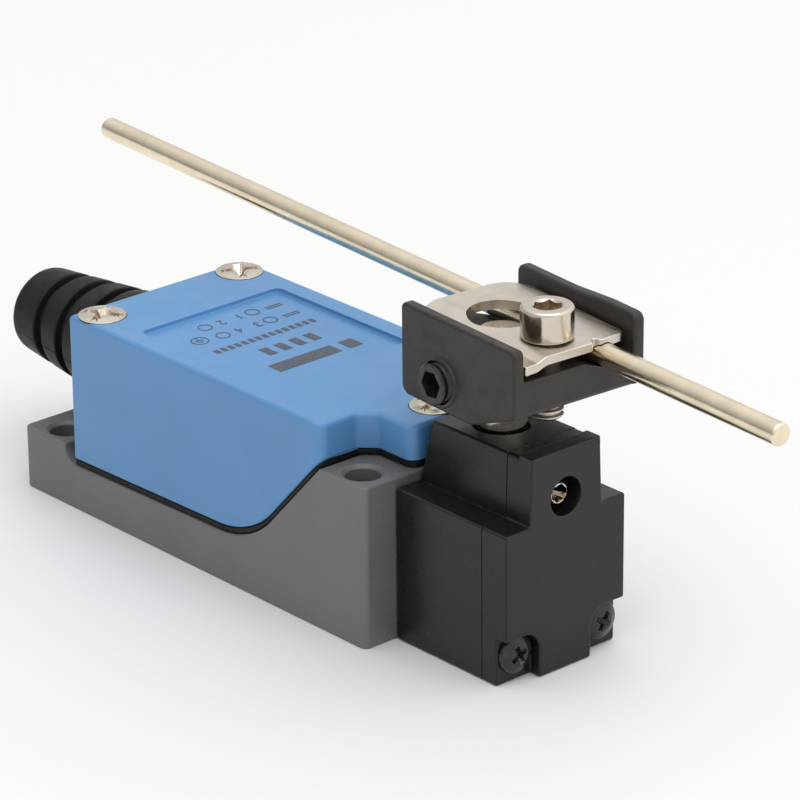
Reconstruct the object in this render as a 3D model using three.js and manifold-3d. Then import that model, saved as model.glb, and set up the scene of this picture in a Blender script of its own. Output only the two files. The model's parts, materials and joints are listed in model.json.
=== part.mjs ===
// Compact limit switch with a side-mounted rotary head and an adjustable rod lever.
// Millimetres. The mounting face is z = 0, +X points towards the head and +Z out through the cover.
// The origin is the centre of the four mounting holes, on the mounting face.

import * as THREE from 'three';
import { mergeVertices } from 'three/addons/utils/BufferGeometryUtils.js';
import Module from 'manifold-3d';

const wasm = await Module();
wasm.setup();

// ---------------------------------------------------------------- driving dimensions

const HOLE_PITCH = { x: 56, y: 21.6 };
const HOLE_RADIUS = 2.1;

const BASE = { rear: -32.6, front: 31.7, halfWidth: 14, floor: 2.5, rearCorner: 0.8, frontCorner: 0.7 };
const LUG = { front: -24.4, top: 8.1, fillet: 1.8 };
const VALLEY = { rearZ: 5.7, frontZ: 6.3, endX: 4.8 };
const SWEEP = { radius: 14, slope: THREE.MathUtils.degToRad(47) };
const EAR_TOP = 20.2;
const CAVITY = { rear: -20.4, front: 22, halfWidth: 11.6, corner: 1.2 };

const COVER = {
  rear: -22.8, front: 23.9, halfWidth: 13.8, top: 25.6, wall: 1.6, roof: 1.8,
  rearCorner: 0.5, frontCorner: 1.6,
};
const TONGUE = { front: 31.5, halfWidth: 6.35, chamfer: 1.85, corner: 1.4 };
const PANEL = { rear: -12.5, front: 11.6, halfWidth: 10.8, depth: 0.55 };
const GASKET = { gap: 0.1, thickness: 0.75, inset: 0.12, width: 1.75 };
const COVER_SCREWS = {
  cover_screw_rear_near: [-19.95, -10.8],
  cover_screw_rear_far: [-19.95, 10.8],
  cover_screw_front: [28.3, 0],
};
const COVER_SCREW = { headRadius: 3, cone: 1.5, headHeight: 1.6, dome: 0.3, shank: 1.45, recess: 1.2 };
const TAPPED_HOLE = 1.6;

const BOOT = {
  axisZ: 16, end: -46.3, bore: 3.5, endRadius: 5.5, taper: 0.1, endBand: 5.6, groove: 1.8, grooveDepth: 1.1,
  rib: 3.2,
};
const ENTRY_WALL = { rear: -20.4, front: -18.2, halfWidth: 7.7, top: 23.5, hole: 6.5 };

const HEAD = { rear: 31.8, front: 46.3, halfWidth: 9.25, ledge: 19.05, top: 26.95 };
const NECK = { lowHalf: 5.6, topHalf: 5.3, lowRear: 32, topRear: 33.8 };
const CAP = { rear: 46.4, front: 50.4, pocketFace: 48.8, stripRear: 48.2, stripHeight: 0.3 };
const CAP_SCREW = { y: 6.56, z: 3.4 };
const STOP_SCREW = {
  z: 21.3, radius: 1.4, rear: 44.4, front: 49.2, socket: 1.1, depth: 1.2, holeRadius: 2.35,
};
const UPPER_BUSHING = { bore: 3.06, radius: 4.5, low: 17, high: 23.4 };
const LOWER_BUSHING = { bore: 2.06, radius: 4, low: 1.9, high: 5.6 };
const HEAD_SCREW = { headRadius: 2.38, headHeight: 0.75, dome: 0.35, shank: 1.45, end: 24.9, recess: 0.8 };
const CAM_CHAMBER = { rear: 33.2, halfWidth: 6.2, floor: 6.2, roof: 16.8 };

const SHAFT = { x: 39.73, radius: 3, journal: 2, top: 38.5 };
const CAM = { radius: 4.2, flat: 3.1, low: 7, high: 16 };
const PLUNGER = { z: 11.5, stem: 2.2, flange: 4.6, face: 35.4, rear: 20.1 };
const SPRING_BORE = { radius: 4.2, rear: 24.6 };

const LEVER = { turn: THREE.MathUtils.degToRad(-4), rear: -7.9, nearSide: -8.3, farSide: 10.05 };
const LEVER_WALL = { thickness: 1.55, near: { front: 12.4, top: 41.4 }, far: { front: 13, top: 42 } };
const WEB = { low: 30.3, bendU: 4.6, rise: 0.4, top: 37.5, ledge: 38.15, ledgeFront: 10.4 };
const ROD_SEAT = { v: 1.85, midV: 5, midZ: 36.4, farZ: 35.6 };
const ROD = { radius: 1.35, v: 4.95, z: 37.9, rear: -85.9, front: 41.3 };
const PLATE = {
  rear: -7.8, front: 12.4, farFront: 11.8, far: 8.1, top: 39.9, tilt: 1.7, thickness: 1.1, hole: 4.05,
  corner: 4,
};
const PLATE_NOTCH = { v: 3.75, halfWidth: 0.7, reach: 1.3 };
const CLAMP_SCREW = { u: 8, seat: 40.15, headRadius: 3.05, headHeight: 3.7, shank: 1.95, end: 30.5 };
const SET_SCREW = { u: -0.9, z: 33.8, radius: 2.5, face: -9.55, tip: -3.05, collar: 3.1, collarFace: -8.6 };

const SWITCH = { rear: -6, front: 17, halfWidth: 10.8, floor: 2.8, top: 16, wall: 1.5 };
const DECK = { rear: -13, top: 8 };
const TERMINAL = { thickness: 0.6, seat: 8.2, screwX: -9.8 };
const TERMINALS = {
  no_near: { y: [-5.2, -2.6], tabX: 3.7 },
  no_far: { y: [2.6, 5.2], tabX: 3.7 },
  nc_near: { y: [-9.2, -6.6], tabX: 6.3 },
  nc_far: { y: [6.6, 9.2], tabX: 6.3 },
};
const BRIDGE = { rear: 5.6, thickness: 0.6, halfWidth: 9, low: 10.5, high: 12.5 };
const GROUND = { x: -15.7, y: -7.6, bossRadius: 2.3, bossTop: 5 };
const CASE_SCREWS = { near: [19.4, -7], far: [19.4, 7] };
const CASE_SCREW = {
  headRadius: 2, headHeight: 1, dome: 0.3, shank: 1.15, length: 4.4, recess: 0.7, sides: 10,
};
const TERMINAL_SCREW = {
  headRadius: 1.5, headHeight: 1, dome: 0.2, shank: 1, length: 4.2, recess: 0.6, sides: 10,
};
const GROUND_SCREW = {
  headRadius: 2, headHeight: 1.1, dome: 0.3, shank: 1.45, length: 4.4, recess: 0.8, sides: 12,
};

// ---------------------------------------------------------------- finishes

const finish = (color, roughness, metalness) => new THREE.MeshStandardMaterial({ color, roughness, metalness });
const GREY_CASTING = finish(0x5f6165, 0.55, 0.3);
const BLUE_PLASTIC = finish(0x6892c6, 0.45, 0);
const BLACK_PLASTIC = finish(0x2e2e30, 0.5, 0);
const BLACK_METAL = finish(0x3a3838, 0.45, 0.4);
const RUBBER = finish(0x1c1c1d, 0.7, 0);
const NICKEL = finish(0xd4ccc0, 0.25, 1);
const BRASS = finish(0xc9a659, 0.35, 1);
const BRONZE = finish(0xa87b4a, 0.4, 1);
const SPRING_STEEL = finish(0x9a9a98, 0.3, 1);
const IVORY_PLASTIC = finish(0xe0dac8, 0.5, 0);
const SMOKE_PLASTIC = finish(0x4a3a30, 0.5, 0);

// ---------------------------------------------------------------- shape helpers

// A closed three.js geometry as a solid that can be joined and cut.
function solid(geometry) {
  geometry.deleteAttribute('normal');
  geometry.deleteAttribute('uv');
  const merged = mergeVertices(geometry, 1e-4);
  const vertProperties = new Float32Array(merged.attributes.position.array);
  const triVerts = new Uint32Array(merged.index.array);
  return new wasm.Manifold(new wasm.Mesh({ numProp: 3, vertProperties, triVerts }));
}

// The outline through the corners [x, y, radius], each rounded by its radius.
function outline(corners) {
  const points = [];
  corners.forEach(([x, y, radius = 0], i) => {
    const corner = new THREE.Vector2(x, y);
    if (radius === 0) {
      points.push(corner);
      return;
    }
    const before = new THREE.Vector2(...corners.at(i - 1)).sub(corner).normalize();
    const after = new THREE.Vector2(...corners[(i + 1) % corners.length]).sub(corner).normalize();
    const half = Math.acos(before.dot(after)) / 2;
    const centre = before.clone().add(after).normalize().multiplyScalar(radius / Math.sin(half)).add(corner);
    const start = before.clone().multiplyScalar(radius / Math.tan(half)).add(corner).sub(centre);
    const turn = (Math.PI - 2 * half) * Math.sign(after.cross(before));
    const steps = Math.max(2, Math.ceil(Math.abs(turn) / (Math.PI / 8)));
    for (let k = 0; k <= steps; k += 1) {
      points.push(start.clone().rotateAround(new THREE.Vector2(), turn * k / steps).add(centre));
    }
  });
  return new THREE.Shape(points);
}

const rectangle = (x0, x1, y0, y1, r = 0) => outline([[x0, y0, r], [x1, y0, r], [x1, y1, r], [x0, y1, r]]);

// A shape extruded along an axis. It is drawn in (x, y) for z, in (x, z) for y and in (y, z) for x.
function prism(axis, shape, from, to) {
  const geometry = new THREE.ExtrudeGeometry(shape, { depth: to - from, bevelEnabled: false });
  if (axis === 'z') geometry.translate(0, 0, from);
  if (axis === 'y') geometry.rotateX(Math.PI / 2).translate(0, to, 0);
  if (axis === 'x') geometry.rotateX(Math.PI / 2).rotateZ(Math.PI / 2).translate(from, 0, 0);
  return solid(geometry);
}

function box(x0, x1, y0, y1, z0, z1) {
  const geometry = new THREE.BoxGeometry(x1 - x0, y1 - y0, z1 - z0);
  geometry.translate((x0 + x1) / 2, (y0 + y1) / 2, (z0 + z1) / 2);
  return solid(geometry);
}

// A profile of [position along the axis, radius] points turned round an axis through `centre`.
// The outside is listed first, from low to high.
function turned(axis, centre, profile, sides = 20) {
  const points = profile.map(([along, radius]) => new THREE.Vector2(radius, along));
  const geometry = new THREE.LatheGeometry(points, sides);
  const [a, b] = centre;
  if (axis === 'x') geometry.rotateZ(-Math.PI / 2).translate(0, a, b);
  if (axis === 'y') geometry.translate(a, 0, b);
  if (axis === 'z') geometry.rotateX(Math.PI / 2).translate(a, b, 0);
  return solid(geometry);
}

const round = (axis, centre, radius, from, to, sides = 20) => (
  turned(axis, centre, [[from, 0], [from, radius], [to, radius], [to, 0]], sides)
);

const tube = (axis, centre, inner, outer, from, to, sides = 20) => (
  turned(axis, centre, [[from, inner], [from, outer], [to, outer], [to, inner], [from, inner]], sides)
);

// A ring of round section about the Z axis, such as a seal.
const seal = (meanRadius, sectionRadius) => solid(new THREE.TorusGeometry(meanRadius, sectionRadius, 6, 20));

const join = (...bodies) => bodies.reduce((whole, body) => whole.add(body));
const cut = (whole, ...tools) => tools.reduce((left, tool) => left.subtract(tool), whole);

const limitSwitch = new THREE.Group();

function place(name, body, material, parent = limitSwitch) {
  const { vertProperties, triVerts } = body.getMesh();
  const geometry = new THREE.BufferGeometry();
  geometry.setAttribute('position', new THREE.BufferAttribute(vertProperties, 3));
  geometry.setIndex(new THREE.BufferAttribute(triVerts, 1));
  const mesh = new THREE.Mesh(geometry, material);
  mesh.name = name;
  parent.add(mesh);
  return mesh;
}

// A screw whose head starts at z = 0, flat underneath or with a cone of the given height.
function screw({ headRadius, headHeight, dome, shank, length, recess, cone = 0, sides = 18 }) {
  const chamfer = shank * 0.25;
  const body = turned('z', [0, 0], [
    [-length, 0], [-length, shank - chamfer], [-length + chamfer, shank], [0, shank],
    [cone, headRadius], [headHeight, headRadius], [headHeight + dome * 0.7, headRadius * 0.6],
    [headHeight + dome, 0],
  ], sides);
  const arm = headRadius * 0.58;
  const half = headRadius * 0.13;
  const floor = headHeight + dome - recess;
  const cross = join(
    box(-arm, arm, -half, half, floor, headHeight + 2),
    box(-half, half, -arm, arm, floor, headHeight + 2),
  );
  return cut(body, cross);
}

// ---------------------------------------------------------------- housing: base, gasket, cover

// The line where the cover meets the base, seen from the side and raised by `lift`.
function partingLine(lift) {
  const sweepEnd = Math.sin(SWEEP.slope) * SWEEP.radius;
  const sweepRise = SWEEP.radius - Math.cos(SWEEP.slope) * SWEEP.radius;
  const line = [[COVER.rear, VALLEY.rearZ]];
  const steps = 7;
  for (let k = 0; k <= steps; k += 1) {
    const angle = SWEEP.slope * k / steps;
    line.push([
      VALLEY.endX + Math.sin(angle) * SWEEP.radius,
      VALLEY.frontZ + (1 - Math.cos(angle)) * SWEEP.radius,
    ]);
  }
  const climb = EAR_TOP - VALLEY.frontZ - sweepRise;
  line.push([VALLEY.endX + sweepEnd + climb / Math.tan(SWEEP.slope), EAR_TOP]);
  line.push([BASE.front, EAR_TOP]);
  return line.map(([x, z]) => [x, z + lift]);
}

const mountingHoles = [-1, 1].flatMap((sx) => (
  [-1, 1].map((sy) => [sx * HOLE_PITCH.x / 2, sy * HOLE_PITCH.y / 2])
));

function coverPlan(inset) {
  const rear = COVER.rear + inset;
  const front = COVER.front - inset;
  const tip = TONGUE.front - inset;
  const side = COVER.halfWidth - inset;
  const neck = TONGUE.halfWidth - inset;
  const { chamfer, corner } = TONGUE;
  const near = [
    [rear, -side, COVER.rearCorner], [front, -side, COVER.frontCorner],
    [front, -neck - chamfer, 0.8], [front + chamfer, -neck, 0.5], [tip, -neck, corner],
  ];
  const far = near.map(([x, y, radius]) => [x, -y, radius]).reverse();
  return outline([...near, ...far]);
}

const chamferedHole = ([x, y], top) => turned('z', [x, y], [
  [-1, 0], [-1, HOLE_RADIUS], [top - 0.35, HOLE_RADIUS], [top + 0.4, HOLE_RADIUS + 0.75],
  [top + 0.4, 0],
]);

function baseHousing() {
  const side = outline([
    [BASE.rear, 0], [BASE.front, 0], ...partingLine(0).reverse().slice(0, -1),
    [LUG.front, VALLEY.rearZ, LUG.fillet], [LUG.front, LUG.top], [BASE.rear, LUG.top],
  ]);
  const plan = outline([
    [BASE.rear, -BASE.halfWidth, BASE.rearCorner], [BASE.front, -BASE.halfWidth, BASE.frontCorner],
    [BASE.front, BASE.halfWidth, BASE.frontCorner], [BASE.rear, BASE.halfWidth, BASE.rearCorner],
  ]);
  const block = prism('y', side, -BASE.halfWidth, BASE.halfWidth).intersect(prism('z', plan, 0, EAR_TOP));

  const { rear, front, halfWidth, corner } = CAVITY;
  const cavity = prism('z', rectangle(rear, front, -halfWidth, halfWidth, corner), BASE.floor, EAR_TOP + 5);
  const postLow = (name) => round('z', COVER_SCREWS[name], 3, 0, EAR_TOP + 6);
  const hollow = cut(cavity, postLow('cover_screw_rear_near'), postLow('cover_screw_rear_far'));

  const wall = box(
    ENTRY_WALL.rear, ENTRY_WALL.front, -ENTRY_WALL.halfWidth, ENTRY_WALL.halfWidth,
    BASE.floor - 1, ENTRY_WALL.top,
  );
  const groundBoss = round('z', [GROUND.x, GROUND.y], GROUND.bossRadius, BASE.floor - 1, GROUND.bossTop, 16);
  const body = join(cut(block, hollow), wall, groundBoss);

  const screwHoles = [
    round('z', COVER_SCREWS.cover_screw_rear_near, TAPPED_HOLE, 1.4, 12, 16),
    round('z', COVER_SCREWS.cover_screw_rear_far, TAPPED_HOLE, 1.4, 12, 16),
    round('z', COVER_SCREWS.cover_screw_front, TAPPED_HOLE, 16.6, 30, 16),
    round('z', [GROUND.x, GROUND.y], TAPPED_HOLE, 1, 6, 16),
    ...[-1, 1].map((s) => round('x', [s * CAP_SCREW.y, CAP_SCREW.z], TAPPED_HOLE, 24.6, 33, 16)),
    ...Object.values(CASE_SCREWS).map((at) => round('z', at, 1.3, 0.6, 4, 16)),
  ];
  return cut(
    body,
    ...screwHoles,
    ...mountingHoles.map((hole) => chamferedHole(hole, hole[0] < 0 ? LUG.top : EAR_TOP)),
    round('x', [0, BOOT.axisZ], 8.3, BASE.rear - 1, LUG.front + 0.4, 32),
    round('x', [0, BOOT.axisZ], ENTRY_WALL.hole, ENTRY_WALL.rear - 0.5, ENTRY_WALL.front + 0.5, 32),
    round('x', [0, PLUNGER.z], 2.6, CAVITY.front - 1, SPRING_BORE.rear + 1),
    round('x', [0, PLUNGER.z], SPRING_BORE.radius, SPRING_BORE.rear, BASE.front + 1, 28),
    tube('x', [0, PLUNGER.z], 5.1, 6.5, BASE.front - 1.1, BASE.front + 1, 28),
  );
}

function coverGasket() {
  const low = partingLine(GASKET.gap);
  const high = partingLine(GASKET.gap + GASKET.thickness).reverse();
  const band = prism('y', outline([...low, ...high]), -BASE.halfWidth, BASE.halfWidth);
  const outer = prism('z', coverPlan(GASKET.inset), 0, COVER.top);
  const width = COVER.halfWidth - GASKET.inset - GASKET.width;
  const opening = rectangle(COVER.rear + 1.9, CAVITY.front - 0.4, -width, width, 1);
  const inner = prism('z', opening, -1, COVER.top + 1);
  const pads = Object.values(COVER_SCREWS).slice(0, 2).map((at) => round('z', at, 2.9, -1, COVER.top + 1));
  const holes = Object.values(COVER_SCREWS).map((at) => round('z', at, 1.75, -1, COVER.top + 1, 16));
  return cut(band.intersect(cut(outer, cut(inner, ...pads))), ...holes);
}

function cover() {
  const seat = partingLine(GASKET.gap * 2 + GASKET.thickness);
  const above = outline([...seat, [BASE.front, COVER.top], [COVER.rear, COVER.top]]);
  const raised = prism('y', above, -BASE.halfWidth, BASE.halfWidth);
  const skin = prism('z', coverPlan(0), 0, COVER.top).intersect(raised);
  const inside = COVER.halfWidth - COVER.wall;
  const room = prism(
    'z',
    rectangle(COVER.rear + COVER.wall, COVER.front - COVER.wall, -inside, inside, 1),
    0,
    COVER.top - COVER.roof,
  );
  const bosses = [-1, 1].map((s) => box(-22, -17, s > 0 ? 8.25 : -13, s > 0 ? 13 : -8.25, 0, COVER.top));
  const sink = COVER_SCREW.headRadius + 0.12;
  const screwHoles = Object.values(COVER_SCREWS).map((at) => turned('z', at, [
    [0, 0], [0, 1.65], [COVER.top - COVER_SCREW.cone - 0.1, 1.65], [COVER.top, sink], [COVER.top + 1, sink],
    [COVER.top + 1, 0],
  ], 28));
  const notch = join(
    round('x', [0, BOOT.axisZ], 8.15, COVER.rear - 1, COVER.rear + 2.5, 32),
    box(COVER.rear - 1, COVER.rear + 2.5, -8.15, 8.15, 0, BOOT.axisZ),
  );
  const panel = prism(
    'z',
    rectangle(PANEL.rear, PANEL.front, -PANEL.halfWidth, PANEL.halfWidth, 1),
    COVER.top - PANEL.depth,
    COVER.top + 1,
  );
  return cut(skin, cut(room, ...bosses), notch, panel, ...screwHoles);
}

place('base_housing', baseHousing(), GREY_CASTING);
place('cover_gasket', coverGasket(), RUBBER);
place('cover', cover(), BLUE_PLASTIC);

Object.entries(COVER_SCREWS).forEach(([name, [x, y]]) => {
  const seat = COVER.top - COVER_SCREW.cone;
  const end = name === 'cover_screw_front' ? 16.9 : 1.7;
  const body = screw({ ...COVER_SCREW, length: seat - end });
  place(name, body, NICKEL).position.set(x, y, seat);
});

// ---------------------------------------------------------------- cable entry

// A ribbed cone of rubber, buttoned into the round hole of the base's upright rear wall.
function cableBoot() {
  const radiusAt = (x) => BOOT.endRadius + BOOT.taper * (x - BOOT.end);
  const profile = [
    [BOOT.end, BOOT.bore], [BOOT.end, BOOT.endRadius - 0.9], [BOOT.end + 0.3, BOOT.endRadius - 0.25],
    [BOOT.end + 0.9, radiusAt(BOOT.end + 0.9)],
  ];
  for (let x = BOOT.end + BOOT.endBand; x + BOOT.groove < COVER.rear; x += BOOT.groove + BOOT.rib) {
    const floor = radiusAt(x) - BOOT.grooveDepth;
    profile.push([x, radiusAt(x)], [x + 0.15, floor], [x + BOOT.groove - 0.15, floor]);
    profile.push([x + BOOT.groove, radiusAt(x + BOOT.groove)]);
  }
  const flange = ENTRY_WALL.rear - 0.15;
  const lip = ENTRY_WALL.front + 0.15;
  profile.push([COVER.rear, radiusAt(COVER.rear)], [flange, 7.95], [flange, 6.3], [lip, 6.3]);
  profile.push([lip, 7.4], [lip + 1.6, 7], [lip + 1.6, BOOT.bore], [BOOT.end, BOOT.bore]);
  return turned('x', [0, BOOT.axisZ], profile, 26);
}

place('cable_boot', cableBoot(), RUBBER);

// ---------------------------------------------------------------- head: block, end cap, bearings

// The head's T section, seen along X.
const headSection = () => outline([
  [-HEAD.halfWidth, 0, 0.6], [HEAD.halfWidth, 0, 0.6], [HEAD.halfWidth, HEAD.ledge, 0.6],
  [NECK.lowHalf, HEAD.ledge], [NECK.topHalf, HEAD.top, 0.5], [-NECK.topHalf, HEAD.top, 0.5],
  [-NECK.lowHalf, HEAD.ledge], [-HEAD.halfWidth, HEAD.ledge, 0.6],
]);

const capScrewHoles = (from, to) => [-1, 1].map((s) => (
  round('x', [s * CAP_SCREW.y, CAP_SCREW.z], 1.6, from, to, 16)
));

function headBlock() {
  const body = prism('x', headSection(), HEAD.rear, HEAD.front);
  const rearSlant = prism('y', outline([
    [HEAD.rear - 2, HEAD.ledge], [NECK.lowRear, HEAD.ledge], [NECK.topRear, HEAD.top],
    [NECK.topRear, HEAD.top + 2], [HEAD.rear - 2, HEAD.top + 2],
  ]), -8, 8);
  const axis = [SHAFT.x, 0];
  return cut(
    body,
    rearSlant,
    box(CAM_CHAMBER.rear, HEAD.front + 1, -CAM_CHAMBER.halfWidth, CAM_CHAMBER.halfWidth,
      CAM_CHAMBER.floor, CAM_CHAMBER.roof),
    round('x', [0, PLUNGER.z], SPRING_BORE.radius, HEAD.rear - 1, CAM_CHAMBER.rear + 1, 28),
    round('z', axis, 4.1, 1.8, CAM_CHAMBER.floor + 1, 28),
    round('z', axis, 4.6, CAM_CHAMBER.roof - 1, 25.6, 28),
    round('z', axis, 3.2, 25, HEAD.top + 1, 28),
    round('x', [0, STOP_SCREW.z], TAPPED_HOLE, STOP_SCREW.rear - 0.4, HEAD.front + 1, 16),
    ...capScrewHoles(HEAD.rear - 1, HEAD.front + 1),
  );
}

function headCap() {
  const plate = prism('x', headSection(), CAP.rear, CAP.front);
  const strip = box(CAP.stripRear, CAP.front, -NECK.topHalf + 0.3, NECK.topHalf - 0.3, HEAD.top - 1,
    HEAD.top + CAP.stripHeight);
  const pocket = (s) => prism('x', outline([
    [s * 4, -1], [s * 10, -1], [s * 10, 5.9], [s * 4, 5.9, 2.2],
  ]), CAP.pocketFace, CAP.front + 1);
  return cut(
    join(plate, strip),
    pocket(-1),
    pocket(1),
    ...capScrewHoles(CAP.rear - 1, CAP.front),
    round('x', [0, STOP_SCREW.z], STOP_SCREW.holeRadius, CAP.rear - 1, CAP.front + 1),
  );
}

place('head_block', headBlock(), BLACK_PLASTIC);
place('head_cap', headCap(), BLACK_PLASTIC);

['near', 'far'].forEach((side, i) => {
  const seat = CAP.pocketFace + 0.05;
  const body = screw({ ...HEAD_SCREW, length: seat - HEAD_SCREW.end });
  const mesh = place(`head_screw_${side}`, body, BLACK_METAL);
  mesh.position.set(seat, (i * 2 - 1) * CAP_SCREW.y, CAP_SCREW.z);
  mesh.rotation.y = Math.PI / 2;
});

const headSeal = place('head_seal_ring', seal(5.8, 0.5), RUBBER);
headSeal.rotation.y = Math.PI / 2;
headSeal.position.set(BASE.front - 0.52, 0, PLUNGER.z);

const bushing = ({ bore, radius, low, high }) => tube('z', [SHAFT.x, 0], bore, radius, low, high, 28);
place('shaft_bushing_upper', bushing(UPPER_BUSHING), BRONZE);
place('shaft_bushing_lower', bushing(LOWER_BUSHING), BRONZE);
place('shaft_seal_ring', seal(3.8, 0.65), RUBBER).position.set(SHAFT.x, 0, 24.4);

// The shaft stop is a headless screw with a hexagon socket that leaves only a thin rim.
function stopScrew() {
  const { z, radius, rear, front, socket, depth } = STOP_SCREW;
  const hexagon = new THREE.Shape(Array.from({ length: 6 }, (_, k) => (
    new THREE.Vector2(Math.cos(k * Math.PI / 3) * socket, Math.sin(k * Math.PI / 3) * socket + z)
  )));
  return cut(round('x', [0, z], radius, rear, front, 24), prism('x', hexagon, front - depth, front + 1));
}

place('shaft_stop_screw', stopScrew(), NICKEL);

// ---------------------------------------------------------------- shaft, plunger and its spring

// The thin lower end of the shaft carries the cam and turns in the lower bushing.
function rotaryShaft() {
  const { radius, journal, top } = SHAFT;
  return turned('z', [SHAFT.x, 0], [
    [2, 0], [2, journal], [CAM.high + 0.6, journal], [CAM.high + 0.6, radius],
    [top - 0.5, radius], [top, radius - 0.5], [top, 0],
  ], 32);
}

// The cam has one flat, which faces the plunger at rest.
function shaftCam() {
  const ring = tube('z', [SHAFT.x, 0], SHAFT.journal + 0.06, CAM.radius, CAM.low, CAM.high, 32);
  return cut(ring, box(SHAFT.x - 6, SHAFT.x - CAM.flat, -6, 6, CAM.low - 1, CAM.high + 1));
}

function headPlunger() {
  const { stem, flange, face, rear } = PLUNGER;
  return turned('x', [0, PLUNGER.z], [
    [rear, 0], [rear, stem - 0.4], [rear + 0.5, stem], [face - 1, stem], [face - 1, flange],
    [face - 0.3, flange], [face, flange - 0.4], [face, 0],
  ], 24);
}

class Helix extends THREE.Curve {
  constructor(radius, from, to, turns) {
    super();
    Object.assign(this, { radius, from, to, turns });
  }

  getPoint(t) {
    const angle = t * this.turns * 2 * Math.PI;
    return new THREE.Vector3(
      this.from + t * (this.to - this.from),
      Math.cos(angle) * this.radius,
      Math.sin(angle) * this.radius,
    );
  }
}

function coilSpring(radius, wire, from, to, turns) {
  const section = new THREE.Shape(Array.from({ length: 5 }, (_, k) => (
    new THREE.Vector2(Math.cos(k * Math.PI * 0.4) * wire, Math.sin(k * Math.PI * 0.4) * wire)
  )));
  const extrudePath = new Helix(radius, from, to, turns);
  return solid(new THREE.ExtrudeGeometry(section, { extrudePath, steps: turns * 10 }));
}

place('rotary_shaft', rotaryShaft(), NICKEL);
place('shaft_cam', shaftCam(), SPRING_STEEL);
place('head_plunger', headPlunger(), SPRING_STEEL);
place('plunger_spring', coilSpring(3.1, 0.4, SPRING_BORE.rear + 0.6, PLUNGER.face - 1.6, 6), SPRING_STEEL)
  .position.set(0, 0, PLUNGER.z);

// ---------------------------------------------------------------- lever, drawn in (u, v) about the shaft axis

const lever = new THREE.Group();
lever.position.x = SHAFT.x;
lever.rotation.z = LEVER.turn;
limitSwitch.add(lever);

// The bracket seen from the side: its underside rises towards the front.
const leverSide = ({ front, top }) => outline([
  [LEVER.rear, WEB.low, 1.2], [WEB.bendU, WEB.low], [front, WEB.low + WEB.rise * (front - WEB.bendU), 0.8],
  [front, top, 0.5], [LEVER.rear, top, 0.5],
]);

// A U-shaped bracket: a web that is bored for the shaft and slopes away under the rod, between two walls.
function leverArm() {
  const { thickness, near, far } = LEVER_WALL;
  const nearInner = LEVER.nearSide + thickness;
  const farInner = LEVER.farSide - thickness;
  const rear = LEVER.rear - 1;
  const front = far.front + 1;
  const block = prism('y', leverSide(near), LEVER.nearSide, farInner + 0.5);
  const channel = box(rear, front, nearInner, farInner + 1, WEB.top, far.top + 1);
  const farWall = prism('y', leverSide(far), farInner, LEVER.farSide);
  const ledge = box(PLATE.rear, WEB.ledgeFront, nearInner - 0.2, nearInner + 1.3, WEB.top - 0.5, WEB.ledge);
  const screwAxis = [SET_SCREW.u, SET_SCREW.z];
  const collar = round('y', screwAxis, SET_SCREW.collar, SET_SCREW.collarFace, LEVER.nearSide + 0.5, 28);
  const rodSeat = prism('x', outline([
    [ROD_SEAT.v, WEB.top], [ROD_SEAT.midV, ROD_SEAT.midZ], [farInner, ROD_SEAT.farZ],
    [farInner, WEB.top + 1], [ROD_SEAT.v, WEB.top + 1],
  ]), rear, front);
  return cut(
    cut(join(cut(block, channel), farWall, ledge, collar), rodSeat),
    round('z', [0, 0], SHAFT.radius + 0.08, WEB.low - 1, WEB.top + 2, 32),
    round('z', [CLAMP_SCREW.u, 0], CLAMP_SCREW.shank + 0.1, WEB.low - 1, WEB.top + 2, 20),
    round('y', screwAxis, SET_SCREW.radius + 0.12, LEVER.nearSide - 1, 0, 24),
  );
}

// The clamp plate is bent down along its near edge, notched beside the rod, and raised a little at the rear.
function clampPlate() {
  const { rear, front, farFront, far, thickness } = PLATE;
  const rim = [[-6.6, -0.6], [-4.9, -0.5], [-3.6, 0], [far, -0.1]];
  const underside = rim.map(([v, z]) => [v, z - thickness]).reverse();
  const plate = prism('x', outline([...underside, ...rim]), rear - front, 0);
  const plan = outline([
    [rear, -7, 0.4], [front, -7, 0.4], [front - 0.1, PLATE_NOTCH.v - PLATE_NOTCH.halfWidth],
    [front - PLATE_NOTCH.reach, PLATE_NOTCH.v], [front - 0.2, PLATE_NOTCH.v + PLATE_NOTCH.halfWidth],
    [farFront, far, 1], [rear, far, PLATE.corner],
  ]);
  return cut(
    plate.rotate([0, PLATE.tilt, 0]).translate([front, 0, PLATE.top]).intersect(prism('z', plan, 30, 45)),
    round('z', [0, 0], PLATE.hole, 30, 45, 36),
    round('z', [CLAMP_SCREW.u, 0], CLAMP_SCREW.shank + 0.2, 30, 45, 20),
    round('x', [ROD.v, ROD.z], ROD.radius + 0.1, rear - 1, front + 1, 20),
  );
}

const hexagon = (acrossFlats, x = 0, y = 0) => new THREE.Shape(Array.from({ length: 6 }, (_, k) => (
  new THREE.Vector2(
    x + Math.cos(k * Math.PI / 3) * acrossFlats / Math.sqrt(3),
    y + Math.sin(k * Math.PI / 3) * acrossFlats / Math.sqrt(3),
  )
)));

function clampScrew() {
  const { u, seat, headRadius, headHeight, shank, end } = CLAMP_SCREW;
  const crown = seat + headHeight;
  const body = turned('z', [u, 0], [
    [end, 0], [end, shank - 0.5], [end + 0.5, shank], [seat, shank], [seat, headRadius],
    [crown - 0.3, headRadius], [crown, headRadius - 0.3], [crown, 0],
  ], 32);
  return cut(body, prism('z', hexagon(3, u), crown - 2, crown + 1));
}

function setScrew() {
  const { u, z, radius, face, tip } = SET_SCREW;
  const body = turned('y', [u, z], [
    [face, 0], [face, radius - 0.3], [face + 0.3, radius], [tip - 1, radius], [tip, radius - 1], [tip, 0],
  ], 24);
  return cut(body, prism('y', hexagon(2.5, u, z), face - 1, face + 2));
}

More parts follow.
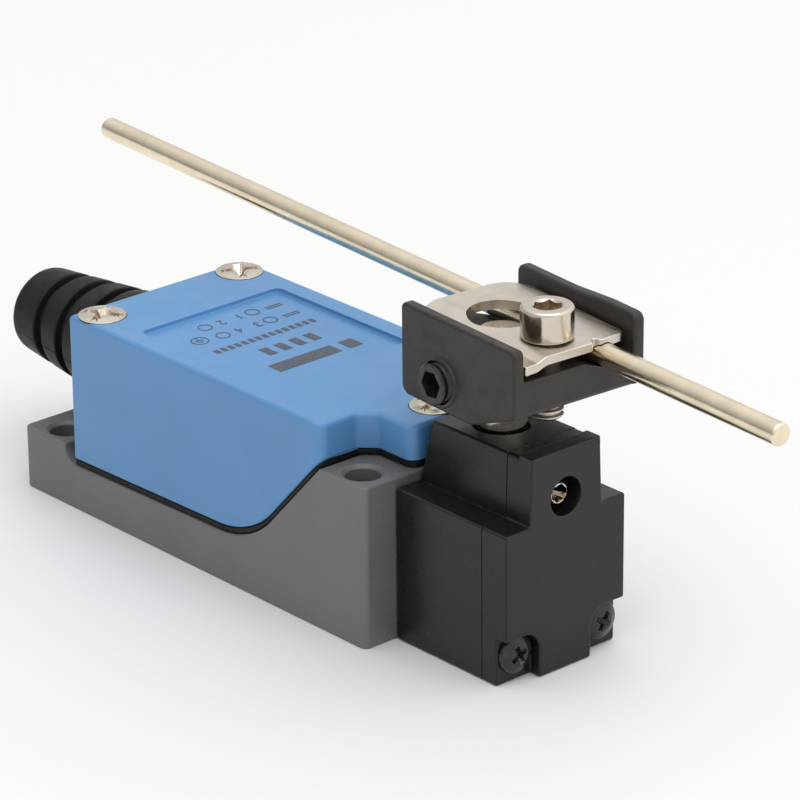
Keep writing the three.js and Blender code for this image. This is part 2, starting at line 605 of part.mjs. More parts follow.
function leverRod() {
  const { radius, v, z, rear, front } = ROD;
  const ease = 0.3;
  return turned('x', [v, z], [
    [rear, 0], [rear, radius - ease], [rear + ease, radius], [front - ease, radius], [front, radius - ease],
    [front, 0],
  ], 20);
}

place('lever_arm', leverArm(), BLACK_METAL, lever);
place('clamp_plate', clampPlate(), NICKEL, lever);
place('clamp_screw', clampScrew(), NICKEL, lever);
place('lever_set_screw', setScrew(), BLACK_METAL, lever);
place('lever_rod', leverRod(), NICKEL, lever);

// ---------------------------------------------------------------- snap switch inside the base

function switchCase() {
  const { rear, front, halfWidth, floor, top, wall } = SWITCH;
  const shell = box(rear, front, -halfWidth, halfWidth, floor, top);
  const room = box(rear + wall, front - wall, -halfWidth + wall, halfWidth - wall, floor + wall, top + 1);
  const deck = box(DECK.rear, rear + 0.5, -halfWidth + 0.6, halfWidth - 0.6, floor, DECK.top);
  const feet = box(front - 0.5, front + 4.7, -9.3, 9.3, floor, floor + 2.4);
  const slots = Object.values(TERMINALS).map(({ y }) => (
    box(rear - 1, rear + wall + 1, y[0] - 0.15, y[1] + 0.15, TERMINAL.seat - 0.15,
      TERMINAL.seat + TERMINAL.thickness + 0.15)
  ));
  const screwWells = Object.values(TERMINALS).map(({ y }) => (
    round('z', [TERMINAL.screwX, (y[0] + y[1]) / 2], 1.25, floor + 1.5, DECK.top + 1, 12)
  ));
  return cut(
    join(cut(shell, room), deck, feet),
    ...slots,
    ...screwWells,
    round('x', [0, PLUNGER.z], 2.1, front - wall - 1, front + 1, 20),
    ...Object.values(CASE_SCREWS).map((at) => round('z', at, 1.35, floor - 1, floor + 4, 12)),
    box(front - 0.1, front + 5, -3.2, 3.2, floor - 1, floor + 4),
  );
}

// One strip of brass: a screw terminal on the deck, a run into the case, and an upright contact tab.
function terminal({ y, tabX }) {
  const { thickness, seat, screwX } = TERMINAL;
  const [low, high] = y;
  const run = box(DECK.rear + 0.3, tabX + thickness, low, high, seat, seat + thickness);
  const tab = box(tabX, tabX + thickness, low, high, seat, BRIDGE.high + 0.2);
  const hole = round('z', [screwX, (low + high) / 2], 1.2, seat - 1, seat + 2, 12);
  return cut(join(run, tab), hole);
}

// The button slides in the case and carries the bridge that joins one pair of contacts.
function switchButton() {
  const stem = round('x', [0, PLUNGER.z], 1.9, 11, PLUNGER.rear - 0.2, 20);
  const carriage = box(0.5, 12, -2, 2, 9.2, 13.8);
  const { rear, thickness, low, high } = BRIDGE;
  const window = box(rear - 0.1, rear + thickness + 0.1, -3, 3, low - 0.1, high + 0.1);
  return cut(join(stem, carriage), window);
}

place('switch_case', switchCase(), IVORY_PLASTIC);
place('switch_lid', box(SWITCH.rear, SWITCH.front, -SWITCH.halfWidth, SWITCH.halfWidth, SWITCH.top + 0.1,
  SWITCH.top + 1.5), SMOKE_PLASTIC);
place('switch_button', switchButton(), SMOKE_PLASTIC);
place('contact_bridge', box(BRIDGE.rear, BRIDGE.rear + BRIDGE.thickness, -BRIDGE.halfWidth, BRIDGE.halfWidth,
  BRIDGE.low, BRIDGE.high), BRASS);

Object.entries(TERMINALS).forEach(([name, shape]) => {
  const middle = (shape.y[0] + shape.y[1]) / 2;
  const seat = TERMINAL.seat + TERMINAL.thickness + 0.6;
  place(`terminal_${name}`, terminal(shape), BRASS);
  const clamp = cut(
    box(TERMINAL.screwX - 1.7, TERMINAL.screwX + 1.7, -1.45, 1.45, seat - 0.55, seat - 0.05),
    round('z', [TERMINAL.screwX, 0], 1.2, seat - 2, seat + 2, 12),
  );
  place(`terminal_washer_${name}`, clamp, NICKEL).position.y = middle;
  place(`terminal_screw_${name}`, screw(TERMINAL_SCREW), NICKEL).position.set(TERMINAL.screwX, middle, seat);
});

Object.entries(CASE_SCREWS).forEach(([name, [x, y]]) => {
  const seat = SWITCH.floor + 2.45;
  place(`case_screw_${name}`, screw(CASE_SCREW), NICKEL).position.set(x, y, seat);
});

place('ground_washer', tube('z', [GROUND.x, GROUND.y], 1.6, 2.2, 5.05, 5.55, 14), BRASS);
place('ground_screw', screw(GROUND_SCREW), BRASS).position.set(GROUND.x, GROUND.y, 5.6);

export default limitSwitch;
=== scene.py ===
"""The limit switch's looks: fine surfaces, finishes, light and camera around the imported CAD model."""

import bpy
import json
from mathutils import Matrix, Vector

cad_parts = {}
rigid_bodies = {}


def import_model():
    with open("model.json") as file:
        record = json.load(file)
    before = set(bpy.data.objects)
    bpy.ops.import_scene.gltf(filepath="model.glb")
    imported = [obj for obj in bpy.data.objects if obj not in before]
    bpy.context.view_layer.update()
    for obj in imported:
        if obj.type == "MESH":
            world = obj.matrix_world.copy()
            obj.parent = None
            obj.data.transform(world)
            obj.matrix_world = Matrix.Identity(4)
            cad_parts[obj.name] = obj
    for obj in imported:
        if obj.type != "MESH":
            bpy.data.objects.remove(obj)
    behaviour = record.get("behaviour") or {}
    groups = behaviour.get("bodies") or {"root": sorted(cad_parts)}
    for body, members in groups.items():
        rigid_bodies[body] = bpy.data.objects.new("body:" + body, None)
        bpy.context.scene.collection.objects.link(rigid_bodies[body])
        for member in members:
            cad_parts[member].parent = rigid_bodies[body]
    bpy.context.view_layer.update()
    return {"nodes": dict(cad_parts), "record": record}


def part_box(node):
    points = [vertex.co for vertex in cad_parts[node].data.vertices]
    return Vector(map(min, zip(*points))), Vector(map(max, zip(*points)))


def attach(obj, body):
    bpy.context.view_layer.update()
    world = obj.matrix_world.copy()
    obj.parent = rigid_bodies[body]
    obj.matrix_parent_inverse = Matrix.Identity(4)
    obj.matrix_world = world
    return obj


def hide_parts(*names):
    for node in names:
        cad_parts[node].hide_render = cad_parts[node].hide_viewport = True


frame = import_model()

import json
import math

import bmesh
import bpy
from mathutils import Matrix, Vector

MM = 0.001

# ------------------------------------------------------------------ dimensions, in millimetres

HOLE_PITCH = (56.0, 21.6)
HOLE_RADIUS = 2.1
FLOOR = 2.5
LUG = {"front": -24.4, "top": 8.1}
VALLEY = {"rear_z": 5.7, "front_z": 6.3, "end_x": 4.8}
SWEEP = {"radius": 14.0, "slope": math.radians(47)}
EAR_TOP = 20.2
CAVITY = {"rear": -20.4, "front": 22.0, "half": 11.6}
COVER = {"front": 23.9, "wall": 1.6, "roof": 1.8, "neck": 6.35}
PANEL = {"rear": -12.5, "front": 11.6, "half": 10.8, "depth": 0.55}
GASKET = {"gap": 0.1, "thickness": 0.75}
BOOT = {"end_radius": 5.5, "taper": 0.1, "end_band": 5.6, "groove": 1.8, "rib": 3.2, "bore": 3.5}
ENTRY = {"rear": -20.4, "front": -18.2, "half": 7.7, "top": 23.5, "hole": 6.5}
HEAD = {"ledge": 19.05, "neck_low": 5.6, "neck_top": 5.3, "top": 26.95}
CAP_SCREW = (6.56, 3.4)
STOP_Z = 21.3
PLUNGER_Z = 11.5
PLUNGER_GUIDE = 2.6
SPRING_BORE = {"radius": 4.2, "rear": 24.6}
TAPPED_HOLE = 1.6
COUNTERSINK = {"radius": 3.06, "depth": 1.6}
SCREW_THREAD = {"radius": 1.45, "pitch": 0.5, "depth": 0.22}
SCREW_BOSS = {"rear": -22, "front": -17, "inner": 8.25, "outer": 13}
GROUND_BOSS = {"at": (-15.7, -7.6), "radius": 2.3, "top": 5.0}
CASE_SCREW = {"x": 19.4, "y": 7, "hole": 1.3}
BOOT_NOTCH = {"cover": 8.15, "base": 8.3, "reach": 2.5}
CAM_CHAMBER = {"rear": 33.2, "half": 6.2, "floor": 6.2, "roof": 16.8}
SHAFT = {"radius": 3, "journal": 2, "step": 16.6}
LEVER_TURN = math.radians(-4)
LEVER = {"rear": -7.9, "near": -8.3, "far": 10.05, "wall": 1.55}
NEAR_WALL = {"front": 12.4, "top": 41.4}
FAR_WALL = {"front": 13.0, "top": 42.0}
WEB = {"low": 30.3, "bend": 4.6, "rise": 0.4, "top": 37.5, "ledge": 38.15, "ledge_front": 10.4}
ROD_SEAT = {"v": 1.85, "mid_v": 5.0, "mid_z": 36.4, "far_z": 35.6}
PLATE = {"rear": -7.8, "front": 12.4, "far_front": 11.8, "far": 8.1, "top": 39.9, "thickness": 1.1}
PLATE_TILT = math.radians(1.7)
PLATE_NOTCH = {"v": 3.75, "half": 0.7, "reach": 1.3}
PLATE_HOLE = 4.05
ROD_AT = (4.95, 37.9)
ROD = {"radius": 1.35, "rear": -85.9, "front": 41.3, "ease": 0.35}
SET_SCREW_AT = (-0.9, 33.8)
SET_SCREW = {"radius": 2.5, "face": -9.55, "tip": -3.05, "collar": 3.1, "collar_face": -8.6}
CLAMP_SCREW = {"u": 8.0, "seat": 40.15, "head": 3.05, "shank": 1.9, "thread": 1.95}


def box_mm(node):
    low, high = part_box(node)
    return Vector(low) / MM, Vector(high) / MM


BASE_LOW, BASE_HIGH = box_mm("base_housing")
COVER_LOW, COVER_HIGH = box_mm("cover")
BOOT_LOW, BOOT_HIGH = box_mm("cable_boot")
BLOCK_LOW, BLOCK_HIGH = box_mm("head_block")
CAP_LOW, CAP_HIGH = box_mm("head_cap")
SHAFT_LOW, SHAFT_HIGH = box_mm("rotary_shaft")
BOOT_Z = (BOOT_LOW.z + BOOT_HIGH.z) / 2
SHAFT_X = (SHAFT_LOW.x + SHAFT_HIGH.x) / 2
LEVER_FRAME = Matrix.Translation((SHAFT_X, 0, 0)) @ Matrix.Rotation(LEVER_TURN, 4, "Z")

# ------------------------------------------------------------------ shape tools, in millimetres


def outline(corners, step=math.radians(7.5)):
    """The outline through corners (x, y, radius), each rounded by its radius."""
    points = []
    for i, (x, y, radius) in enumerate(corners):
        corner = Vector((x, y))
        if radius == 0:
            points.append(corner)
            continue
        before = (Vector(corners[i - 1][:2]) - corner).normalized()
        after = (Vector(corners[(i + 1) % len(corners)][:2]) - corner).normalized()
        half = before.angle(after) / 2
        centre = corner + (before + after).normalized() * (radius / math.sin(half))
        start = corner + before * (radius / math.tan(half)) - centre
        turn = math.copysign(math.pi - 2 * half, after.cross(before))
        steps = max(3, math.ceil(abs(turn) / step))
        for k in range(steps + 1):
            points.append(Matrix.Rotation(turn * k / steps, 2) @ start + centre)
    return points


def rectangle(x0, x1, y0, y1, radius=0.0):
    return outline([(x0, y0, radius), (x1, y0, radius), (x1, y1, radius), (x0, y1, radius)])


def polygon(sides, radius, centre=(0, 0), start=0.0):
    angles = [start + 2 * math.pi * k / sides for k in range(sides)]
    return [Vector((centre[0] + radius * math.cos(a), centre[1] + radius * math.sin(a))) for a in angles]


def new_object(bm, name="blank"):
    bmesh.ops.recalc_face_normals(bm, faces=bm.faces)
    mesh = bpy.data.meshes.new(name)
    bm.to_mesh(mesh)
    bm.free()
    body = bpy.data.objects.new(name, mesh)
    bpy.context.scene.collection.objects.link(body)
    return body


def along(axis, a, b, c):
    """The point whose place along the axis is c, and a, b across it."""
    return {"x": (c, a, b), "y": (a, c, b), "z": (a, b, c)}[axis]


def prism(axis, points, low, high):
    """An outline, drawn in (y, z), (x, z) or (x, y), extruded along the axis."""
    bm = bmesh.new()
    rings = [[bm.verts.new(along(axis, p[0], p[1], c)) for p in points] for c in (low, high)]
    bm.faces.new(rings[0])
    bm.faces.new(rings[1])
    for i in range(len(points)):
        bm.faces.new((rings[0][i - 1], rings[0][i], rings[1][i], rings[1][i - 1]))
    return new_object(bm)


def block(x0, x1, y0, y1, z0, z1):
    return prism("z", rectangle(x0, x1, y0, y1), z0, z1)


def turned(axis, centre, corners, sides=96):
    """A closed profile of (place along the axis, radius, rounding) corners, turned round the axis."""
    bm = bmesh.new()
    rings = []
    for c, radius in outline(corners):
        if radius < 1e-6:
            rings.append([bm.verts.new(along(axis, centre[0], centre[1], c))])
            continue
        circle = polygon(sides, radius, centre)
        rings.append([bm.verts.new(along(axis, p.x, p.y, c)) for p in circle])
    for i, after in enumerate(rings):
        before = rings[i - 1]
        if len(before) == 1 and len(after) == 1:
            continue
        for k in range(sides):
            if len(before) == 1:
                face = [before[0], after[k], after[k - 1]]
            elif len(after) == 1:
                face = [before[k - 1], before[k], after[0]]
            else:
                face = [before[k - 1], before[k], after[k], after[k - 1]]
            bm.faces.new(face)
    return new_object(bm)


def rod(axis, centre, radius, low, high, sides=64):
    corners = [(low, 0, 0), (low, radius, 0), (high, radius, 0), (high, 0, 0)]
    return turned(axis, centre, corners, sides)


def hull(points):
    """The convex body through points."""
    bm = bmesh.new()
    for p in points:
        bm.verts.new(p)
    bmesh.ops.convex_hull(bm, input=bm.verts)
    return new_object(bm)


def settle(body):
    """Applies the modifiers."""
    graph = bpy.context.evaluated_depsgraph_get()
    mesh = bpy.data.meshes.new_from_object(body.evaluated_get(graph))
    body.modifiers.clear()
    body.data = mesh
    return body


def combine(operation, body, tools):
    for tool in tools:
        modifier = body.modifiers.new("combine", "BOOLEAN")
        modifier.operation = operation
        modifier.solver = "EXACT"
        modifier.object = tool
    settle(body)
    for tool in tools:
        bpy.data.objects.remove(tool)
    return body


def cut(body, *tools):
    return combine("DIFFERENCE", body, tools)


def join(body, *tools):
    return combine("UNION", body, tools)


def common(body, *tools):
    return combine("INTERSECT", body, tools)


def soften(body, width, wide=(), segments=3, angle=24):
    """Rounds the sharp edges. Each (test, width) in `wide` gives its own width to the edges it picks."""
    bm = bmesh.new()
    bm.from_mesh(body.data)
    bmesh.ops.remove_doubles(bm, verts=bm.verts, dist=1e-3)
    bmesh.ops.dissolve_limit(bm, angle_limit=math.radians(0.2), verts=bm.verts, edges=bm.edges)
    widest = max([width] + [own for _, own in wide])
    weight = bm.edges.layers.float.new("bevel_weight_edge")
    for edge in bm.edges:
        if len(edge.link_faces) != 2 or edge.calc_face_angle() < math.radians(angle):
            continue
        a, b = (v.co for v in edge.verts)
        own = next((w for test, w in wide if test(a, b)), width)
        edge[weight] = own / widest
    bm.to_mesh(body.data)
    bm.free()
    modifier = body.modifiers.new("soften", "BEVEL")
    modifier.limit_method = "WEIGHT"
    modifier.width = widest
    modifier.segments = segments
    modifier.use_clamp_overlap = False
    return settle(body)


def shade(body, angle):
    """Smooth shading between faces that meet at less than the angle, led by the larger faces."""
    body.data.polygons.foreach_set("use_smooth", [True] * len(body.data.polygons))
    body.data.set_sharp_from_angle(angle=math.radians(angle))
    modifier = body.modifiers.new("shade", "WEIGHTED_NORMAL")
    modifier.keep_sharp = True
    modifier.weight = 80
    return settle(body)


def piece(body, name, material, rides, replaces=None, place=None, crease=38):
    """Shades and names a finished shape, brings it to metres and fastens it to its CAD body."""
    shade(body, crease)
    body.name = name
    body.data.name = name
    if place is not None:
        body.data.transform(place)
    body.data.transform(Matrix.Scale(MM, 4))
    body.data.materials.clear()
    body.data.materials.append(material)
    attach(body, rides)
    if replaces is not None:
        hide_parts(replaces)
    return body


# ------------------------------------------------------------------ materials


class Finish:
    """A Principled material whose colour, roughness and relief vary over the surface."""

    def __init__(self, name, color, roughness, metallic=0.0):
        self.material = bpy.data.materials.new(name)
        self.material.use_nodes = True
        self.tree = self.material.node_tree
        self.shader = self.tree.nodes["Principled BSDF"]
        self.color = color
        self.shader.inputs["Metallic"].default_value = metallic
        self.shader.inputs["Roughness"].default_value = roughness
        self.coordinates = self.tree.nodes.new("ShaderNodeTexCoord").outputs["Object"]
        self.height = None
        self.base = None

    def node(self, kind, **settings):
        node = self.tree.nodes.new(kind)
        for key, value in settings.items():
            setattr(node, key, value)
        return node

    def link(self, source, target):
        self.tree.links.new(source, target)

    def noise(self, size_mm, detail=3.0, stretch=(1, 1, 1), turn=0.0, roughness=0.55):
        """Noise whose lumps are about size_mm across, drawn out by `stretch` along each axis."""
        mapping = self.node("ShaderNodeMapping", vector_type="POINT")
        mapping.inputs["Rotation"].default_value = (0, 0, turn)
        mapping.inputs["Scale"].default_value = [1 / (size_mm * MM * s) for s in stretch]
        self.link(self.coordinates, mapping.inputs["Vector"])
        texture = self.node("ShaderNodeTexNoise")
        texture.inputs["Scale"].default_value = 1.0
        texture.inputs["Detail"].default_value = detail
        texture.inputs["Roughness"].default_value = roughness
        self.link(mapping.outputs["Vector"], texture.inputs["Vector"])
        return texture.outputs["Fac"]

    def spread(self, source, low, high, start=0.3, end=0.7):
        span = self.node("ShaderNodeMapRange")
        for name, value in (("From Min", start), ("From Max", end), ("To Min", low), ("To Max", high)):
            span.inputs[name].default_value = value
        self.link(source, span.inputs["Value"])
        return span.outputs["Result"]

    def mottle(self, source, other, start=0.3, end=0.7, most=1.0):
        """Mixes the colour towards another one where the source is high."""
        mix = self.node("ShaderNodeMix", data_type="RGBA")
        self.link(self.spread(source, 0.0, most, start, end), mix.inputs["Factor"])
        if self.base is None:
            mix.inputs["A"].default_value = (*self.color, 1)
        else:
            self.link(self.base, mix.inputs["A"])
        mix.inputs["B"].default_value = (*other, 1)
        self.base = mix.outputs["Result"]
        return self

    def polish(self, source, low, high):
        self.link(self.spread(source, low, high), self.shader.inputs["Roughness"])
        return self

    def relief(self, source, depth_mm, strength=1.0):
        bump = self.node("ShaderNodeBump")
        bump.inputs["Strength"].default_value = strength
        bump.inputs["Distance"].default_value = depth_mm * MM
        self.link(source, bump.inputs["Height"])
        if self.height is not None:
            self.link(self.height, bump.inputs["Normal"])
        self.height = bump.outputs["Normal"]
        return self

    def worn_edges(self, other, radius_mm=0.35, most=0.6):
        """Mixes the colour towards another one along the edges, broken up by fine noise."""
        rounded = self.node("ShaderNodeBevel", samples=6)
        rounded.inputs["Radius"].default_value = radius_mm * MM
        flat = self.node("ShaderNodeNewGeometry").outputs["Normal"]
        dot = self.node("ShaderNodeVectorMath", operation="DOT_PRODUCT")
        self.link(rounded.outputs["Normal"], dot.inputs[0])
        self.link(flat, dot.inputs[1])
        edge = self.spread(dot.outputs["Value"], 1.0, 0.0, 0.86, 0.985)
        broken = self.node("ShaderNodeMath", operation="MULTIPLY")
        self.link(edge, broken.inputs[0])
        self.link(self.spread(self.noise(1.3), 0.25, 1.0, 0.35, 0.6), broken.inputs[1])
        return self.mottle(broken.outputs["Value"], other, 0.0, 1.0, most)

    def done(self):
        if self.base is None:
            self.shader.inputs["Base Color"].default_value = (*self.color, 1)
        else:
            self.link(self.base, self.shader.inputs["Base Color"])
        if self.height is not None:
            self.link(self.height, self.shader.inputs["Normal"])
        return self.material


def shade_of(color, factor):
    return tuple(min(1.0, c * factor) for c in color)


def cast_grey():
    color = (0.136, 0.135, 0.135)
    f = Finish("cast_grey", color, 0.42, 0.0)
    f.mottle(f.noise(9.0), shade_of(color, 1.12))
    f.mottle(f.noise(0.35, 2.0), shade_of(color, 0.86), 0.5, 0.75, 0.6)
    f.worn_edges((0.26, 0.26, 0.26), 0.3, 0.5)
    f.polish(f.noise(2.2), 0.36, 0.5)
    f.relief(f.noise(0.28, 4.0), 0.02, 0.5)
    f.relief(f.noise(3.0, 2.0), 0.03, 0.35)
    return f.done()


def blue_plastic():
    color = (0.097, 0.263, 0.515)
    f = Finish("blue_plastic", color, 0.36)
    f.shader.inputs["Subsurface Weight"].default_value = 0.12
    f.shader.inputs["Subsurface Radius"].default_value = (0.2, 0.5, 1.0)
    f.shader.inputs["Subsurface Scale"].default_value = 0.0012
    f.mottle(f.noise(14.0, 2.0), shade_of(color, 1.08))
    f.mottle(f.noise(0.6, 3.0), shade_of(color, 0.95), 0.5, 0.8, 0.5)
    f.polish(f.noise(4.0), 0.32, 0.42)
    f.relief(f.noise(0.22, 3.0), 0.006, 0.4)
    f.relief(f.noise(7.0, 1.0), 0.04, 0.25)
    return f.done()


def black_plastic():
    color = (0.008, 0.008, 0.008)
    f = Finish("black_plastic", color, 0.3)
    f.shader.inputs["Specular IOR Level"].default_value = 0.36
    f.mottle(f.noise(6.0), shade_of(color, 1.3))
    f.mottle(f.noise(0.5, 3.0), (0.03, 0.028, 0.025), 0.62, 0.8, 0.5)
    f.worn_edges((0.09, 0.085, 0.075), 0.22, 0.6)
    f.polish(f.noise(3.0), 0.24, 0.36)
    f.relief(f.noise(0.2, 4.0), 0.012, 0.45)
    f.relief(f.noise(4.0, 2.0), 0.03, 0.3)
    return f.done()


def black_coating():
    color = (0.027, 0.0235, 0.021)
    f = Finish("black_coating", color, 0.42, 0.15)
    f.shader.inputs["Specular IOR Level"].default_value = 0.4
    f.mottle(f.noise(5.0), shade_of(color, 1.35))
    f.mottle(f.noise(0.4, 4.0), (0.08, 0.068, 0.06), 0.6, 0.78, 0.6)
    f.worn_edges((0.24, 0.21, 0.18), 0.24, 0.7)
    f.polish(f.noise(2.4), 0.36, 0.52)
    f.relief(f.noise(0.3, 5.0), 0.02, 0.5)
    f.relief(f.noise(3.5, 2.0), 0.08, 0.3)
    return f.done()


def black_oxide():
    color = (0.03, 0.029, 0.028)
    f = Finish("black_oxide", color, 0.3, 0.6)
    f.mottle(f.noise(1.2), shade_of(color, 1.8))
    f.worn_edges((0.3, 0.28, 0.25), 0.12, 0.6)
    f.polish(f.noise(0.8), 0.12, 0.26)
    f.relief(f.noise(0.15, 4.0), 0.008, 0.5)
    return f.done()


def rubber():
    color = (0.0065, 0.0062, 0.006)
    f = Finish("rubber", color, 0.5)
    f.shader.inputs["Specular IOR Level"].default_value = 0.22
    f.mottle(f.noise(7.0), shade_of(color, 1.5))
    f.mottle(f.noise(0.25, 4.0), (0.026, 0.024, 0.023), 0.58, 0.75, 0.6)
    f.polish(f.noise(2.0), 0.42, 0.6)
    f.relief(f.noise(0.18, 4.0), 0.015, 0.5)
    f.relief(f.noise(2.5, 2.0), 0.04, 0.25)
    return f.done()


def nickel(name, color, low, high, scratch, stretch=(1, 1, 1), turn=0.0):
    f = Finish(name, color, (low + high) / 2, 1.0)
    f.mottle(f.noise(3.0), shade_of(color, 0.86))
    f.mottle(f.noise(0.9, 4.0, stretch, turn), (0.52, 0.44, 0.34), 0.6, 0.8, 0.45)
    f.polish(f.noise(0.5, 4.0, stretch, turn), low, high)
    f.relief(f.noise(0.12, 5.0, stretch, turn), scratch, 0.6)
    return f.done()


def plain_metal(name, color, low, high):
    f = Finish(name, color, (low + high) / 2, 1.0)
    f.mottle(f.noise(1.5), shade_of(color, 0.8))
    f.polish(f.noise(0.5, 4.0), low, high)
    f.relief(f.noise(0.15, 4.0), 0.004, 0.5)
    return f.done()


def moulded(name, color, low, high):
    f = Finish(name, color, (low + high) / 2)
    f.mottle(f.noise(4.0), shade_of(color, 0.88))
    f.polish(f.noise(1.5), low, high)
    f.relief(f.noise(0.2, 4.0), 0.008, 0.5)
    return f.done()


def ink():
    color = (0.06, 0.07, 0.09)
    f = Finish("ink", color, 0.5)
    f.mottle(f.noise(0.3, 4.0), (0.1, 0.16, 0.26), 0.5, 0.7, 0.7)
    f.relief(f.noise(0.1, 3.0), 0.003, 0.5)
    return f.done()


def white_floor():
    f = Finish("white_floor", (0.81, 0.807, 0.802), 0.6)
    f.mottle(f.noise(160.0, 1.0), (0.802, 0.799, 0.794))
    f.relief(f.noise(1.2, 2.0), 0.01, 0.2)
    return f.done()


CAST_GREY = cast_grey()
BLUE = blue_plastic()
BLACK = black_plastic()
COATING = black_coating()
OXIDE = black_oxide()
RUBBER = rubber()
NICKEL = nickel("nickel", (0.7, 0.63, 0.54), 0.1, 0.22, 0.0008)
ROD_NICKEL = nickel("rod_nickel", (0.9, 0.79, 0.6), 0.16, 0.3, 0.006, (40, 1, 1), -LEVER_TURN)
PLATE_NICKEL = nickel("plate_nickel", (0.7, 0.64, 0.56), 0.24, 0.4, 0.002, (14, 1, 1), -LEVER_TURN)
BRASS = plain_metal("brass", (0.62, 0.43, 0.17), 0.24, 0.4)
BRONZE = plain_metal("bronze", (0.45, 0.27, 0.14), 0.35, 0.55)
SPRING = plain_metal("spring_steel", (0.42, 0.42, 0.41), 0.2, 0.34)
IVORY = moulded("ivory", (0.66, 0.62, 0.5), 0.4, 0.52)
SMOKE = moulded("smoke", (0.06, 0.04, 0.03), 0.3, 0.45)
INK = ink()

# ------------------------------------------------------------------ base, gasket and cover


def parting_line(lift):
    """The side view of the joint between the base and the cover, raised by `lift`."""
    radius, slope = SWEEP["radius"], SWEEP["slope"]
    line = [(COVER_LOW.x, VALLEY["rear_z"])]
    for k in range(17):
        angle = slope * k / 16
        line.append((VALLEY["end_x"] + math.sin(angle) * radius,
                     VALLEY["front_z"] + (1 - math.cos(angle)) * radius))
    last_x, last_z = line[-1]
    line.append((last_x + (EAR_TOP - last_z) / math.tan(slope), EAR_TOP))
    line.append((BASE_HIGH.x, EAR_TOP))
    return [(x, z + lift, 0) for x, z in line]


def cover_plan(inset=0.0):
    """The cover seen from above: a box with a tongue between two bevelled shoulders."""
    rear, front = COVER_LOW.x + inset, COVER["front"] - inset
    tip, side, neck = COVER_HIGH.x - inset, COVER_HIGH.y - inset, COVER["neck"] - inset
    half = [(rear, -side, 0), (front, -side, 1.6), (front, -neck - 1.85, 0.9), (front + 1.85, -neck, 0.5),
            (tip, -neck, 1.4)]
    return outline(half + [(x, -y, r) for x, y, r in reversed(half)])


def screw_places():
    centres = {}
    for name in ("cover_screw_rear_near", "cover_screw_rear_far", "cover_screw_front"):
        low, high = box_mm(name)
        centres[name] = ((low.x + high.x) / 2, (low.y + high.y) / 2)
    return centres


SCREWS = screw_places()
REAR_SCREWS = [SCREWS["cover_screw_rear_near"], SCREWS["cover_screw_rear_far"]]


def at_rear_corner(a, b):
    """Picks the two upright edges at the back of the cover."""
    return all(abs(v.x - COVER_LOW.x) < 0.05 and abs(v.y) > COVER_HIGH.y - 0.05 for v in (a, b))


def on_top(level, reach=0.05):
    """Picks the edges that lie at a height."""
    return lambda a, b: abs(a.z - level) < reach and abs(b.z - level) < reach


def at_face(x, reach=0.05):
    """Picks the edges that lie on a face across X."""
    return lambda a, b: abs(a.x - x) < reach and abs(b.x - x) < reach


def base_housing():
    """The grey base: lug, valley and ears in the side view, hollowed and drilled."""
    side = outline([
        (BASE_LOW.x, 0, 0), (BASE_HIGH.x, 0, 0), *reversed(parting_line(0)[1:]),
        (LUG["front"], VALLEY["rear_z"], 1.8), (LUG["front"], LUG["top"], 0), (BASE_LOW.x, LUG["top"], 0),
    ])
    half = BASE_HIGH.y
    plan = rectangle(BASE_LOW.x, BASE_HIGH.x, -half, half, 0.9)
    body = common(prism("y", side, -half - 1, half + 1), prism("z", plan, 0, EAR_TOP))
    inner = CAVITY["half"]
    hollow = prism("z", rectangle(CAVITY["rear"], CAVITY["front"], -inner, inner, 1.2), FLOOR, EAR_TOP + 5)
    cut(hollow, *(rod("z", at, 3.0, 0, EAR_TOP + 6) for at in REAR_SCREWS))
    cut(body, hollow)
    soften(body, 0.3, [(on_top(0.0), 0.2)])
    join(
        body,
        block(ENTRY["rear"], ENTRY["front"], -ENTRY["half"], ENTRY["half"], FLOOR - 1, ENTRY["top"]),
        rod("z", GROUND_BOSS["at"], GROUND_BOSS["radius"], FLOOR - 1, GROUND_BOSS["top"]),
    )
    holes = []
    for x in (-HOLE_PITCH[0] / 2, HOLE_PITCH[0] / 2):
        top = LUG["top"] if x < 0 else EAR_TOP
        for y in (-HOLE_PITCH[1] / 2, HOLE_PITCH[1] / 2):
            holes.append(turned("z", (x, y), [
                (-1, 0, 0), (-1, HOLE_RADIUS, 0), (top - 0.4, HOLE_RADIUS, 0.3),
                (top + 0.3, HOLE_RADIUS + 0.75, 0), (top + 0.3, 0, 0)]))
    holes += [rod("z", at, TAPPED_HOLE, 1.4, 12) for at in REAR_SCREWS]
    holes.append(rod("z", SCREWS["cover_screw_front"], TAPPED_HOLE, 16.6, 30))
    holes.append(rod("z", GROUND_BOSS["at"], TAPPED_HOLE, 1, 6))
    holes += cap_screw_holes(24.6, 33)
    holes += [rod("z", (CASE_SCREW["x"], s * CASE_SCREW["y"]), CASE_SCREW["hole"], 0.6, 4) for s in (-1, 1)]
    holes.append(rod("x", (0, BOOT_Z), BOOT_NOTCH["base"], BASE_LOW.x - 1, LUG["front"] + 0.4, 96))
    holes.append(rod("x", (0, BOOT_Z), ENTRY["hole"], ENTRY["rear"] - 0.5, ENTRY["front"] + 0.5, 96))
    holes.append(rod("x", (0, PLUNGER_Z), PLUNGER_GUIDE, CAVITY["front"] - 1, SPRING_BORE["rear"] + 1))
    holes.append(rod("x", (0, PLUNGER_Z), SPRING_BORE["radius"], SPRING_BORE["rear"], BASE_HIGH.x + 1))
    cut(body, *holes)
    groove_low, groove_high = BASE_HIGH.x - 1.1, BASE_HIGH.x + 1
    seal_groove = [(groove_low, 5.1, 0), (groove_low, 6.5, 0), (groove_high, 6.5, 0), (groove_high, 5.1, 0)]
    cut(body, turned("x", (0, PLUNGER_Z), seal_groove))
    return piece(body, "base_shell", CAST_GREY, "housing", "base_housing")


